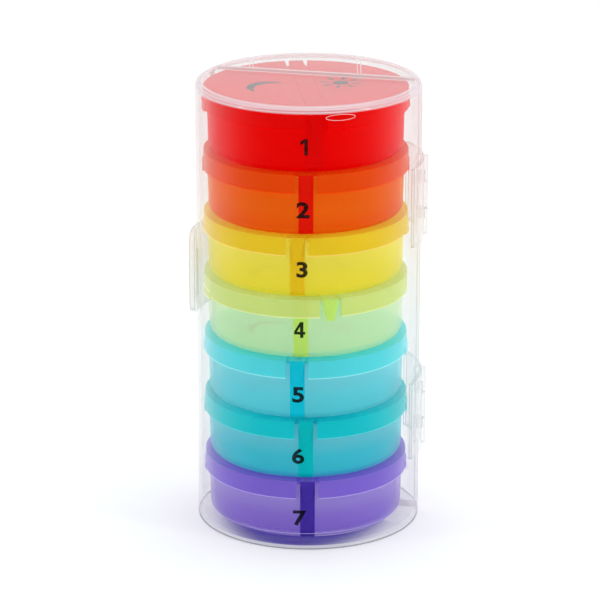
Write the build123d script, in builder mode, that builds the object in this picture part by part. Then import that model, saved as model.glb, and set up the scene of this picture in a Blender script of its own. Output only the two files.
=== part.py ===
"""Weekly pill organizer: seven round boxes in rainbow colours, stacked in a clear round case.

The case is a tube with a floor and a top, parted by one upright plane into a front shell and a
narrower rear door. The door swings on two moulded hinges at the right, and a strap latch holds it at
the left. Each box is a tub with two D-shaped compartments, a centre bar and two hinged flaps.

Millimetres. The origin is the centre of the case's base, +Z is up, the front looks along -Y, the door
is on the +Y side and its hinges are on the +X side.
"""
from build123d import *
from math import asin, cos, degrees, radians, sin
import os

# Case: one clear can, parted into a front shell and a door.
CASE_WALL = 1.1
CASE_FLOOR = 2.0
CASE_TOP = 1.2
TOP_ROUND = 2.0
BASE_BEVEL = 0.9
PART_Y = 8.8
PART_GAP = 0.3

# Hinges: two sets of three knuckles on one upright axis, with leaves that hug the wall.
HINGE_INSET = 1.0
HINGE_FROM_BASE = 33.0
HINGE_FROM_TOP = 35.0
HINGE_H = 23.6
HINGE_GAP = 0.2
BARREL_R = 1.8
BARREL_ROOM = 0.3
MIDDLE_KNUCKLE_H = 8.0
PEG_R = 0.9
PEG_LENGTH = 3.0
PEG_CLEARANCE = 0.05
PEG_END_ROOM = 0.3
LEAF_THICKNESS = 0.8
LEAF_ARC = 27.0

# Latch: a strap on the door that reaches round the front shell to a small catch rib.
LATCH_RISE = 6.75
LATCH_H = 25.5
LATCH_CLEARANCE = 0.4
LATCH_THICKNESS = 1.7
LATCH_TIP_ANGLE = 195.0
LATCH_ROOT_ANGLE = 152.0
LATCH_TIP_ROUND = 7.0
LATCH_ROOT_ROUND = 2.0
CATCH_ANGLE = 187.0
CATCH_ARC = 2.5
CATCH_H = 14.0
CATCH_HEIGHT = 0.25

# Two slim ribs under the door's top hold the stack down.
RIB_WIDTH = 1.3
RIB_DEPTH = 0.4
RIB_GAP = 0.2
RIB_TURN = 14.0
RIB_OFFSETS = (-16.8, 14.9)

# Boxes: the stack stands on the case's floor, a little to the left and front of its middle.
BOX_X = -0.5
BOX_Y = -1.2
BOX_H = 18.4
BOX_ROOM = 2.1
STACK_GAP = 0.1

# Tub: two D-shaped cups side by side, with a slot between their straight walls.
TUB_R = 28.7
TUB_WALL = 1.2
TUB_FLOOR = 1.2
TUB_BEVEL = 1.3
DIVIDER_WALL = 1.05
SLOT_WIDTH = 2.2
SLOT_END_WALL = 1.9

# Lid: a bar across the middle carries two flaps on thin webs.
LID_THICKNESS = 1.2
LID_SEAT = 0.1
SKIRT_CLEARANCE = 0.15
SKIRT_WALL = 0.95
SKIRT_H = 4.2
BAR_WIDTH = 4.2
BAR_TOE_WIDTH = 1.9
BAR_TOE_DROP = 1.1
PRONG_CLEARANCE = 0.15
PRONG_LENGTH = 4.0
PRONG_DEPTH = 5.0
WEB_WIDTH = 1.2
WEB_THICKNESS = 0.4
WEB_END_ROOM = 3.0
TAB_REACH = 0.3
TAB_ARC = 15.0
TAB_H = 2.4
TAB_DROP = 0.5

# Boxes from the floor up: colour, how far the tub is turned from the front, and how far its lid is.
BOXES = (
    ("purple", 15.0, 15.0),
    ("teal", 14.0, 14.0),
    ("sky_blue", 9.0, 9.0),
    ("green", 11.0, 28.0),
    ("yellow", 9.0, 9.0),
    ("orange", 14.0, 14.0),
    ("red", 19.7, 19.7),
)

# What follows from the sizes above.
SKIRT_R_IN = TUB_R + SKIRT_CLEARANCE
LID_R = SKIRT_R_IN + SKIRT_WALL
CASE_R_IN = LID_R + BOX_ROOM
CASE_R = CASE_R_IN + CASE_WALL
STACK_STEP = BOX_H + STACK_GAP
CASE_H = CASE_FLOOR + len(BOXES) * STACK_STEP + RIB_GAP + RIB_DEPTH + CASE_TOP
FRONT_EDGE = PART_Y - PART_GAP / 2
DOOR_EDGE = PART_Y + PART_GAP / 2
HINGE_X = CASE_R - HINGE_INSET
HINGE_MIDDLES = (HINGE_FROM_BASE, CASE_H - HINGE_FROM_TOP)
HINGE_ANGLE = degrees(asin(PART_Y / CASE_R))
OUTER_KNUCKLE_H = (HINGE_H - MIDDLE_KNUCKLE_H) / 2 - HINGE_GAP
LEAF_R = CASE_R + LEAF_THICKNESS
LATCH_MIDDLE = CASE_H / 2 + LATCH_RISE
LATCH_R_IN = CASE_R + LATCH_CLEARANCE
LATCH_R = LATCH_R_IN + LATCH_THICKNESS
TUB_R_IN = TUB_R - TUB_WALL
LID_UNDERSIDE = BOX_H - LID_THICKNESS
TUB_H = LID_UNDERSIDE - LID_SEAT
DIVIDER_WIDTH = SLOT_WIDTH + 2 * DIVIDER_WALL
SLOT_REACH = TUB_R - SLOT_END_WALL
SKIRT_EDGE = LID_UNDERSIDE - SKIRT_H
FLAP_EDGE = BAR_WIDTH / 2 + WEB_WIDTH
PRONG_WIDTH = SLOT_WIDTH - 2 * PRONG_CLEARANCE
PRONG_REACH = SLOT_REACH - PRONG_CLEARANCE
BAR_TOE = SKIRT_EDGE - BAR_TOE_DROP


def ring_sector(r_in, r_out, start, end):
    """Flat piece of a ring about the case's axis, between two angles in degrees."""
    with BuildSketch() as flat:
        with BuildLine():
            outer = CenterArc((0, 0), r_out, start, end - start)
            inner = CenterArc((0, 0), r_in, start, end - start)
            Line(outer @ 0, inner @ 0)
            Line(outer @ 1, inner @ 1)
        make_face()
    return flat.sketch


def hinge_post(bottom, height, radius):
    """Round post about the hinge axis."""
    with BuildPart() as post:
        with BuildSketch(Plane.XY.offset(bottom)):
            with Locations((HINGE_X, PART_Y)):
                Circle(radius)
        extrude(amount=height)
    return post.part


def knuckle_room(bottom, height):
    """Square room about the hinge axis, for the other shell's knuckle to turn in."""
    width = 2 * (BARREL_R + BARREL_ROOM)
    with BuildPart() as room:
        with BuildSketch(Plane.XY.offset(bottom)):
            with Locations((HINGE_X, PART_Y)):
                Rectangle(width, width)
        extrude(amount=height)
    return room.part


def case_blank():
    """The whole clear can with both hinges' leaves on its wall, before it is parted."""
    hollow_h = CASE_H - CASE_FLOOR - CASE_TOP
    corner = TOP_ROUND * (1 - sin(radians(45)))
    with BuildPart() as blank:
        with BuildSketch(Plane.XZ):
            with BuildLine():
                Polyline(
                    (0, 0),
                    (CASE_R - BASE_BEVEL, 0),
                    (CASE_R, BASE_BEVEL),
                    (CASE_R, CASE_H - TOP_ROUND),
                    (CASE_R - corner, CASE_H - corner),
                    (CASE_R - TOP_ROUND, CASE_H),
                    (0, CASE_H),
                    close=True,
                )
            make_face()
            with Locations((0, CASE_FLOOR)):
                Rectangle(CASE_R_IN, hollow_h, align=(Align.MIN, Align.MIN), mode=Mode.SUBTRACT)
        revolve(axis=Axis.Z)
        for middle in HINGE_MIDDLES:
            with BuildSketch(Plane.XY.offset(middle - HINGE_H / 2)):
                add(ring_sector(CASE_R_IN, LEAF_R, HINGE_ANGLE - LEAF_ARC, HINGE_ANGLE + LEAF_ARC))
            extrude(amount=HINGE_H)
    return blank.part


def latch_strap():
    """Strap that springs over the front shell, round at its free end, with its root on the door."""
    root_r = CASE_R - CASE_WALL / 2
    root_end = 180 - degrees(asin(DOOR_EDGE / root_r))
    tip_y = LATCH_R * sin(radians(LATCH_TIP_ANGLE))
    root_y = LATCH_R * sin(radians(LATCH_ROOT_ANGLE))
    with BuildPart() as strap:
        with BuildSketch(Plane.XY.offset(LATCH_MIDDLE - LATCH_H / 2)):
            add(ring_sector(LATCH_R_IN, LATCH_R, LATCH_ROOT_ANGLE, LATCH_TIP_ANGLE))
            add(ring_sector(root_r, LATCH_R, LATCH_ROOT_ANGLE, root_end))
        extrude(amount=LATCH_H)
        with BuildSketch(Plane.YZ) as outline:
            with Locations((tip_y, LATCH_MIDDLE)):
                Rectangle(root_y - tip_y, LATCH_H, align=(Align.MIN, Align.CENTER))
            fillet(outline.vertices().group_by(Axis.X)[0], LATCH_TIP_ROUND)
            fillet(outline.vertices().group_by(Axis.X)[-1], LATCH_ROOT_ROUND)
        extrude(amount=-2 * CASE_R, mode=Mode.INTERSECT)
    return strap.part


def stack_ribs():
    """Slim ribs on the underside of the door's top, from the parting edge to the rear wall."""
    turn = radians(RIB_TURN)
    with BuildSketch() as door_area:
        Circle(CASE_R_IN + CASE_WALL / 2)
        with Locations((0, DOOR_EDGE)):
            Rectangle(2 * CASE_R, CASE_R, align=(Align.CENTER, Align.MIN), mode=Mode.INTERSECT)
    with BuildPart() as ribs:
        with BuildSketch(Plane.XY.offset(CASE_H - CASE_TOP - RIB_DEPTH)):
            with Locations(*[(x * cos(turn), x * sin(turn)) for x in RIB_OFFSETS]):
                Rectangle(RIB_WIDTH, 2 * CASE_R, rotation=RIB_TURN)
            add(door_area.sketch, mode=Mode.INTERSECT)
        extrude(amount=RIB_DEPTH + CASE_TOP / 2)
    return ribs.part


def case_front(blank):
    """Front shell: outer knuckles with blind peg holes, room for the middle ones, and the catch."""
    hole_h = MIDDLE_KNUCKLE_H + 2 * (PEG_LENGTH + PEG_END_ROOM)
    room_h = MIDDLE_KNUCKLE_H + 2 * HINGE_GAP
    with BuildPart() as front:
        add(blank)
        split(bisect_by=Plane.XZ.offset(-FRONT_EDGE), keep=Keep.TOP)
        for middle in HINGE_MIDDLES:
            add(knuckle_room(middle - room_h / 2, room_h), mode=Mode.SUBTRACT)
            add(hinge_post(middle - HINGE_H / 2, OUTER_KNUCKLE_H, BARREL_R))
            add(hinge_post(middle + HINGE_H / 2 - OUTER_KNUCKLE_H, OUTER_KNUCKLE_H, BARREL_R))
            add(hinge_post(middle - hole_h / 2, hole_h, PEG_R + PEG_CLEARANCE), mode=Mode.SUBTRACT)
        with BuildSketch(Plane.XY.offset(LATCH_MIDDLE - CATCH_H / 2)):
            start = CATCH_ANGLE - CATCH_ARC / 2
            add(ring_sector(CASE_R_IN, CASE_R + CATCH_HEIGHT, start, start + CATCH_ARC))
        extrude(amount=CATCH_H)
    return front


def case_door(blank):
    """Rear door: middle knuckles with a peg at each end, room for the outer ones, strap and ribs."""
    room_h = OUTER_KNUCKLE_H + HINGE_GAP
    peg_h = MIDDLE_KNUCKLE_H + 2 * PEG_LENGTH
    with BuildPart() as door:
        add(blank)
        split(bisect_by=Plane.XZ.offset(-DOOR_EDGE), keep=Keep.BOTTOM)
        for middle in HINGE_MIDDLES:
            for bottom in (middle - HINGE_H / 2, middle + HINGE_H / 2 - room_h):
                add(knuckle_room(bottom, room_h), mode=Mode.SUBTRACT)
            add(hinge_post(middle - MIDDLE_KNUCKLE_H / 2, MIDDLE_KNUCKLE_H, BARREL_R))
            add(hinge_post(middle - peg_h / 2, peg_h, PEG_R))
        add(latch_strap())
        add(stack_ribs())
    return door


def box_plane(level, turn):
    """Level plane at a box's underside, turned about the stack's axis."""
    across = (cos(radians(turn)), sin(radians(turn)), 0)
    return Plane((BOX_X, BOX_Y, level), x_dir=across, z_dir=(0, 0, 1))


def section_plane(base):
    """Upright plane through a box's axis: its X runs outwards and its Y upwards."""
    return Plane(base.origin, x_dir=base.x_dir, z_dir=-base.y_dir)


def tub(base):
    """Tub: a cup with a bevelled foot, twin walls across the middle and a slot between them."""
    with BuildPart() as cup:
        with BuildSketch(section_plane(base)):
            with BuildLine():
                Polyline(
                    (0, 0),
                    (TUB_R - TUB_BEVEL, 0),
                    (TUB_R, TUB_BEVEL),
                    (TUB_R, TUB_H),
                    (TUB_R_IN, TUB_H),
                    (TUB_R_IN, TUB_FLOOR),
                    (0, TUB_FLOOR),
                    close=True,
                )
            make_face()
        revolve(axis=Axis(base.origin, base.z_dir))
        with BuildSketch(base.offset(TUB_FLOOR)):
            Rectangle(DIVIDER_WIDTH, 2 * (TUB_R_IN + DIVIDER_WALL))
            Circle(TUB_R - TUB_WALL / 2, mode=Mode.INTERSECT)
        extrude(amount=TUB_H - TUB_FLOOR)
        with BuildSketch(base):
            Rectangle(SLOT_WIDTH, 2 * SLOT_REACH)
        extrude(amount=TUB_H, mode=Mode.SUBTRACT)
    return cup


def hinge_bar(base):
    """Centre bar: a flat strip with a tapering toe outside the rim and a prong in the slot, each end."""
    with BuildPart() as bar:
        with BuildSketch(base.offset(BAR_TOE)):
            Circle(LID_R)
            Circle(SKIRT_R_IN, mode=Mode.SUBTRACT)
        extrude(amount=BOX_H - BAR_TOE)
        with BuildSketch(section_plane(base)):
            with BuildLine():
                Polyline(
                    (-BAR_TOE_WIDTH / 2, BAR_TOE),
                    (BAR_TOE_WIDTH / 2, BAR_TOE),
                    (BAR_WIDTH / 2, LID_UNDERSIDE),
                    (BAR_WIDTH / 2, BOX_H),
                    (-BAR_WIDTH / 2, BOX_H),
                    (-BAR_WIDTH / 2, LID_UNDERSIDE),
                    close=True,
                )
            make_face()
        extrude(amount=2 * LID_R, both=True, mode=Mode.INTERSECT)
        with BuildSketch(base.offset(LID_UNDERSIDE)):
            Rectangle(BAR_WIDTH, 2 * LID_R)
            Circle(LID_R, mode=Mode.INTERSECT)
        extrude(amount=LID_THICKNESS)
        with BuildSketch(base.offset(LID_UNDERSIDE - PRONG_DEPTH)):
            prong_middle = PRONG_REACH - PRONG_LENGTH / 2
            with Locations((0, prong_middle), (0, -prong_middle)):
                Rectangle(PRONG_WIDTH, PRONG_LENGTH)
        extrude(amount=PRONG_DEPTH)
    return bar


def lid_flap(base):
    """Half-round flap on the plane's +X side: skirt over the rim, thumb tab and thin web at the bar."""
    with BuildPart() as flap:
        with BuildSketch(section_plane(base)):
            with BuildLine():
                Polyline(
                    (0, LID_UNDERSIDE),
                    (SKIRT_R_IN, LID_UNDERSIDE),
                    (SKIRT_R_IN, SKIRT_EDGE),
                    (LID_R, SKIRT_EDGE),
                    (LID_R, BOX_H),
                    (0, BOX_H),
                    close=True,
                )
            make_face()
        revolve(axis=Axis(base.origin, base.z_dir))
        split(bisect_by=Plane(base.origin + base.x_dir * FLAP_EDGE, z_dir=base.x_dir), keep=Keep.TOP)
        with BuildSketch(base.offset(LID_UNDERSIDE)):
            with Locations(((BAR_WIDTH + WEB_WIDTH) / 2, 0)):
                Rectangle(WEB_WIDTH, 2 * (LID_R - WEB_END_ROOM))
        extrude(amount=WEB_THICKNESS)
        with BuildSketch(base.offset(SKIRT_EDGE - TAB_DROP)):
            add(ring_sector(SKIRT_R_IN, LID_R + TAB_REACH, -TAB_ARC / 2, TAB_ARC / 2))
        extrude(amount=TAB_H)
    return flap


def keep_piece(piece, name):
    """Labels one finished piece and writes it."""
    piece.part.label = name
    export_step(piece.part, f"parts/{name}.step")


os.makedirs("parts", exist_ok=True)

can = case_blank()
keep_piece(case_front(can), "case_front")
keep_piece(case_door(can), "case_door")

for count, (colour, tub_turn, lid_turn) in enumerate(BOXES):
    level = CASE_FLOOR + STACK_GAP + count * STACK_STEP
    lid_base = box_plane(level, lid_turn)
    keep_piece(tub(box_plane(level, tub_turn)), f"tub_{colour}")
    keep_piece(hinge_bar(lid_base), f"hinge_bar_{colour}")
    keep_piece(lid_flap(box_plane(level, lid_turn + 180)), f"moon_flap_{colour}")
    keep_piece(lid_flap(lid_base), f"sun_flap_{colour}")
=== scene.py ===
# %% [markdown]
# # A weekly pill organizer: seven coloured boxes in a clear case
# The real object is moulded plastic throughout. Seven round boxes, each with two half-round flaps,
# are stacked in a clear can, and the back of the can swings open like a door.
# The hard shapes are already made in CAD, so this lesson is about how plastic looks: water-clear
# walls, tinted walls that let some light through, and thin printed ink.
# Everything is in metres, and every piece rides on the body that it belongs to.

# %% Load the frame and keep its box
import math

import bmesh
import bpy
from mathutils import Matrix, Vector


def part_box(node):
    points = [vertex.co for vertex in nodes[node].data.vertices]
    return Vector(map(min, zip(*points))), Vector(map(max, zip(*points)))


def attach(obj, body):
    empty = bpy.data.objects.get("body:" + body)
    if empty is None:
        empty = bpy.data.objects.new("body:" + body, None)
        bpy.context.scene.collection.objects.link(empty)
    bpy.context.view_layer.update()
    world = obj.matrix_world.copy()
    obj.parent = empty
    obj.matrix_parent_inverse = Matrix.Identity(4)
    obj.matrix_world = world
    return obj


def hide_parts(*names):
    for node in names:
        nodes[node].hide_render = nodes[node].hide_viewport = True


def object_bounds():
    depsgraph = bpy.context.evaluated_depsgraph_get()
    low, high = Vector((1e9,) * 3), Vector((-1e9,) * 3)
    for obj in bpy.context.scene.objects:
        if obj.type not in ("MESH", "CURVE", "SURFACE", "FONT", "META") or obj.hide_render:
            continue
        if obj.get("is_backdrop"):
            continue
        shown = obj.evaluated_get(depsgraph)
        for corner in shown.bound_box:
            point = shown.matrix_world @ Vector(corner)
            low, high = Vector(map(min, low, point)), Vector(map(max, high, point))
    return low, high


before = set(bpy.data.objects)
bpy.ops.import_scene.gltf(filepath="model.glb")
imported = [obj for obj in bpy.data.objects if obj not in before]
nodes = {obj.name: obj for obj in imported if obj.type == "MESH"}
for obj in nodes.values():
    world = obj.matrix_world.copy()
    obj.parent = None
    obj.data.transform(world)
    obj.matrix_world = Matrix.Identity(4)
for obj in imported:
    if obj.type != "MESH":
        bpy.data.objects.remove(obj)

cad_box = [list(corner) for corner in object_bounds()]

MM = 0.001
COLOURS = ("purple", "teal", "sky_blue", "green", "yellow", "orange", "red")

# %% [markdown]
# ## Camera
# The photograph was taken with a long lens from a little to the right and from above.
# A long lens keeps upright edges nearly parallel. The camera is placed from the middle of the case
# by a turn, a height angle and a distance, and its focal length comes from the size of the can in
# the picture, which is 600 pixels wide.

# %% Place the camera
CAMERA_TURN = math.radians(14.0)
CAMERA_RISE = math.radians(18.11)
CAMERA_DISTANCE = 1.0
CAMERA_SIDEWAYS = -0.00246
AIM_HEIGHT = 0.06598
FOCAL_PIXELS = 3388.6
PHOTO_WIDTH = 600

towards_camera = Vector((
    math.sin(CAMERA_TURN) * math.cos(CAMERA_RISE),
    -math.cos(CAMERA_TURN) * math.cos(CAMERA_RISE),
    math.sin(CAMERA_RISE),
))
sideways = Vector((math.cos(CAMERA_TURN), math.sin(CAMERA_TURN), 0.0))

lens = bpy.data.cameras.new("camera")
lens.sensor_width = 36.0
lens.lens = FOCAL_PIXELS / PHOTO_WIDTH * lens.sensor_width
lens.clip_end = 20.0
camera = bpy.data.objects.new("camera", lens)
bpy.context.scene.collection.objects.link(camera)
aim = Vector((0, 0, AIM_HEIGHT)) + sideways * CAMERA_SIDEWAYS
camera.location = aim + towards_camera * CAMERA_DISTANCE
camera.rotation_mode = "QUATERNION"
camera.rotation_quaternion = (-towards_camera).to_track_quat("-Z", "Y")
bpy.context.scene.camera = camera
print("lens:", round(lens.lens, 1), "mm")

# %% [markdown]
# ## Floor and light
# The studio is a white sweep under large soft lamps. Clear plastic has no colour of its own, so what
# it reflects is most of what is seen of it. The room is bright behind and above the case and dimmer
# in front, so the front wall stays open to the eye. Two upright lamps give long streaks at the sides.
# A line of sight passes a dozen see-through skins or more, so a ray may pass far more of them than is
# usual. Colours are shown as they are, without a film curve, so that the tints stay pure.

# %% Lay the floor
FLOOR_HALF = 6.0
FLOOR_WHITE = 0.93
FLOOR_GLOW = 0.22

floor_corners = [(x * FLOOR_HALF, y * FLOOR_HALF, 0) for x, y in ((-1, -1), (1, -1), (1, 1), (-1, 1))]
floor_mesh = bpy.data.meshes.new("floor")
floor_mesh.from_pydata(floor_corners, [], [(0, 1, 2, 3)])
floor = bpy.data.objects.new("floor", floor_mesh)
bpy.context.scene.collection.objects.link(floor)

white_sweep = bpy.data.materials.new("white_sweep")
white_sweep.use_nodes = True
sweep_skin = white_sweep.node_tree.nodes["Principled BSDF"]
sweep_skin.inputs["Base Color"].default_value = (FLOOR_WHITE, FLOOR_WHITE, FLOOR_WHITE, 1.0)
sweep_skin.inputs["Roughness"].default_value = 0.9
sweep_skin.inputs["Specular IOR Level"].default_value = 0.2
sweep_skin.inputs["Emission Color"].default_value = (1.0, 1.0, 1.0, 1.0)
sweep_skin.inputs["Emission Strength"].default_value = FLOOR_GLOW
floor_mesh.materials.append(white_sweep)
floor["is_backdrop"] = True
print("floor half width:", FLOOR_HALF, "m")

# %% Light the room
FRONT_GLOW = 0.28
BACK_GLOW = 0.80
DIM_BEFORE, BRIGHT_BEHIND = -0.75, 0.1

world = bpy.data.worlds.new("studio")
bpy.context.scene.world = world
world.use_nodes = True
sky = world.node_tree
back = sky.nodes["Background"]
back.inputs["Color"].default_value = (1.0, 1.0, 1.0, 1.0)
where = sky.nodes.new("ShaderNodeTexCoord")
split = sky.nodes.new("ShaderNodeSeparateXYZ")
fade = sky.nodes.new("ShaderNodeMapRange")
fade.interpolation_type = "SMOOTHSTEP"
fade.inputs["From Min"].default_value = DIM_BEFORE
fade.inputs["From Max"].default_value = BRIGHT_BEHIND
fade.inputs["To Min"].default_value = FRONT_GLOW
fade.inputs["To Max"].default_value = BACK_GLOW
sky.links.new(where.outputs["Generated"], split.inputs["Vector"])
sky.links.new(split.outputs["Y"], fade.inputs["Value"])
sky.links.new(fade.outputs["Result"], back.inputs["Strength"])
print("room glow from", FRONT_GLOW, "in front to", BACK_GLOW, "behind")

# %% Hang the lamps
LAMPS = {
    "lamp_top": {"place": (0.0, 0.1, 1.3), "aim": 0.05, "size": (1.2, 1.2), "power": 5.0},
    "lamp_left": {"place": (-0.85, -0.55, 0.45), "aim": 0.07, "size": (0.10, 0.9), "power": 1.4},
    "lamp_right": {"place": (0.95, -0.25, 0.45), "aim": 0.07, "size": (0.10, 0.9), "power": 1.6},
}


def soft_lamp(title, place, aim, size, power):
    """One rectangular lamp that faces a height on the case's axis."""
    data = bpy.data.lights.new(title, "AREA")
    data.shape = "RECTANGLE"
    data.size, data.size_y = size
    data.energy = power
    lamp = bpy.data.objects.new(title, data)
    bpy.context.scene.collection.objects.link(lamp)
    lamp.location = place
    lamp.rotation_mode = "QUATERNION"
    lamp.rotation_quaternion = (Vector((0, 0, aim)) - Vector(place)).to_track_quat("-Z", "Y")
    return lamp


for title, values in LAMPS.items():
    soft_lamp(title, **values)
print("lamps:", ", ".join(LAMPS))

# %% Let light pass many clear layers
view = bpy.context.scene.view_settings
view.view_transform = "Standard"
view.look = "None"
cycles = bpy.context.scene.cycles
cycles.max_bounces = 24
cycles.transparent_max_bounces = 64
cycles.glossy_bounces = 8
cycles.caustics_refractive = False
cycles.caustics_reflective = False
print("clear layers a ray may pass:", cycles.transparent_max_bounces)

# %% [markdown]
# ## Corners of the moulded parts
# The CAD parts come in as many small flat faces that aren't joined. Two faces that meet are found by
# the place of their shared edge. Where they meet at more than some angle, the edge is a true corner.
# The same list of corners serves twice: it says where shading stays sharp, and later it says where a
# bright line runs along the plastic.

# %% Find the corners
def place_key(point):
    """A point rounded to a thousandth of a millimetre, so that equal places have equal keys."""
    return tuple(round(c * 1e6) for c in point)


def corners_of(thing, least_angle):
    """Each corner as its edge keys, its two ends and the direction that points out of it."""
    mesh = thing.data
    meeting = {}
    for face in mesh.polygons:
        for key in face.edge_keys:
            ends = tuple(sorted(place_key(mesh.vertices[v].co) for v in key))
            meeting.setdefault(ends, []).append((key, face.normal.copy()))
    found = []
    for group in meeting.values():
        if len(group) == 2 and group[0][1].angle(group[1][1], 0.0) > least_angle:
            ends = [mesh.vertices[v].co.copy() for v in group[0][0]]
            found.append(([key for key, _ in group], ends, (group[0][1] + group[1][1]).normalized()))
    return found


print("corners over 50 degrees on the door:", len(corners_of(nodes["case_door"], math.radians(50))))

# %% Shade the mouldings smooth
SHARP = math.radians(50)
WELD_REACH = 2e-6


def smooth_skin(thing):
    """Welds and smooths one moulding by modifiers, with its true corners left sharp."""
    mesh = thing.data
    if mesh.has_custom_normals:
        bpy.context.view_layer.objects.active = thing
        bpy.ops.mesh.customdata_custom_splitnormals_clear()
    sharp = {key for keys, _, _ in corners_of(thing, SHARP) for key in keys}
    for face in mesh.polygons:
        face.use_smooth = True
    for edge in mesh.edges:
        edge.use_edge_sharp = edge.key in sharp
    weld = thing.modifiers.new("weld", "WELD")
    weld.merge_threshold = WELD_REACH
    weighted = thing.modifiers.new("weighted", "WEIGHTED_NORMAL")
    weighted.keep_sharp = True
    return len(sharp)


sharp_counts = {name: smooth_skin(thing) for name, thing in nodes.items()}
print("sharp edges on the door:", sharp_counts["case_door"])

# %% [markdown]
# ## Clear case
# The case is styrene or a like clear plastic, polished in the mould. Seen face on it is almost open.
# Seen at a slant it reflects more and more of the bright room, so it looks milky, which is why the top
# plate is so pale over the red lid. True refraction gives a grey, dull can with a dark rim, because a
# product photograph is lit so that the plastic doesn't darken. So a see-through shader and a glossy one
# are blended by the slant instead.

# %% Start a material and mix two shaders
def new_tree(title):
    """A material with an empty node tree and its output."""
    made = bpy.data.materials.new(title)
    made.use_nodes = True
    tree = made.node_tree
    tree.nodes.clear()
    out = tree.nodes.new("ShaderNodeOutputMaterial")
    return made, tree, out


def blend(tree, amount, first, second, out):
    """Mixes two shaders by a number or by a socket and sends them to the output."""
    mix = tree.nodes.new("ShaderNodeMixShader")
    if isinstance(amount, float):
        mix.inputs["Fac"].default_value = amount
    else:
        tree.links.new(amount, mix.inputs["Fac"])
    tree.links.new(first.outputs["BSDF"], mix.inputs[1])
    tree.links.new(second.outputs["BSDF"], mix.inputs[2])
    tree.links.new(mix.outputs["Shader"], out.inputs["Surface"])


print("helpers:", new_tree.__name__, blend.__name__)

# %% Vary colour, roughness and height
# Nearly all values of a noise lie between these two.
NOISE_LOW, NOISE_HIGH = 0.3, 0.7


def two_colours(tree, source, first, second, start=0.0, end=1.0):
    """A ramp between two colours, driven by a value."""
    ramp = tree.nodes.new("ShaderNodeValToRGB")
    low, high = ramp.color_ramp.elements
    low.position, high.position = start, end
    low.color, high.color = (*first, 1.0), (*second, 1.0)
    tree.links.new(source, ramp.inputs["Fac"])
    return ramp.outputs["Color"]


def noise(tree, scale, detail, rough=0.5, stretch=None):
    """Noise in the object's own space, in metres, with an optional stretch."""
    where = tree.nodes.new("ShaderNodeTexCoord")
    made = tree.nodes.new("ShaderNodeTexNoise")
    made.inputs["Scale"].default_value = scale
    made.inputs["Detail"].default_value = detail
    made.inputs["Roughness"].default_value = rough
    source = where.outputs["Object"]
    if stretch:
        mapping = tree.nodes.new("ShaderNodeMapping")
        mapping.inputs["Scale"].default_value = stretch
        tree.links.new(source, mapping.inputs["Vector"])
        source = mapping.outputs["Vector"]
    tree.links.new(source, made.inputs["Vector"])
    return made


def spread_of(tree, source, low, high):
    """A noise value moved to the range low to high."""
    made = tree.nodes.new("ShaderNodeMapRange")
    made.inputs["From Min"].default_value = NOISE_LOW
    made.inputs["From Max"].default_value = NOISE_HIGH
    made.inputs["To Min"].default_value = low
    made.inputs["To Max"].default_value = high
    tree.links.new(source, made.inputs["Value"])
    return made.outputs["Result"]


def bump_from(tree, source, strength, distance):
    """A bump made from a height value."""
    made = tree.nodes.new("ShaderNodeBump")
    made.inputs["Strength"].default_value = strength
    made.inputs["Distance"].default_value = distance
    tree.links.new(source, made.inputs["Height"])
    return made.outputs["Normal"]


print("helpers:", two_colours.__name__, noise.__name__, spread_of.__name__, bump_from.__name__)

# %% Give CAD parts a finish
def dress(names, material):
    """Gives CAD nodes one material."""
    for name in names:
        thing = nodes[name]
        thing.data.materials.clear()
        thing.data.materials.append(material)


print("CAD parts to dress:", len(nodes))

# %% Make the clear plastic
CLEAR_IOR = 1.59
COAT_IOR = 1.6
WIPE_MARKS = 900.0
WIPE_STRETCH = (1.0, 1.0, 0.12)
WIPE_ROUGHNESS = (0.05, 0.14)


def clear_plastic(title, least, most, power, milk, tint, glow=0.0):
    """Polished clear plastic: its milkiness goes from least, seen face on, to most, seen edge on. A glow
    above zero is painted light, for painted highlights.
    """
    made, tree, out = new_tree(title)
    body = tree.nodes.new("ShaderNodeBsdfPrincipled")
    body.inputs["Base Color"].default_value = (*milk, 1.0)
    body.inputs["IOR"].default_value = CLEAR_IOR
    body.inputs["Coat Weight"].default_value = 1.0
    body.inputs["Coat IOR"].default_value = COAT_IOR
    body.inputs["Emission Color"].default_value = (*milk, 1.0)
    body.inputs["Emission Strength"].default_value = glow
    marks = noise(tree, WIPE_MARKS, 3.0, 0.6, WIPE_STRETCH)
    tree.links.new(spread_of(tree, marks.outputs["Fac"], *WIPE_ROUGHNESS), body.inputs["Roughness"])
    through = tree.nodes.new("ShaderNodeBsdfTransparent")
    through.inputs["Color"].default_value = (*tint, 1.0)
    slant = tree.nodes.new("ShaderNodeLayerWeight")
    slant.inputs["Blend"].default_value = 0.5
    curve = tree.nodes.new("ShaderNodeMath")
    curve.operation = "POWER"
    curve.inputs[1].default_value = power
    tree.links.new(slant.outputs["Facing"], curve.inputs[0])
    amount = tree.nodes.new("ShaderNodeMapRange")
    amount.inputs["To Min"].default_value = least
    amount.inputs["To Max"].default_value = most
    tree.links.new(curve.outputs["Value"], amount.inputs["Value"])
    blend(tree, amount.outputs["Result"], through, body, out)
    return made


print("gloss of a refractive index of", CLEAR_IOR)

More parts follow.
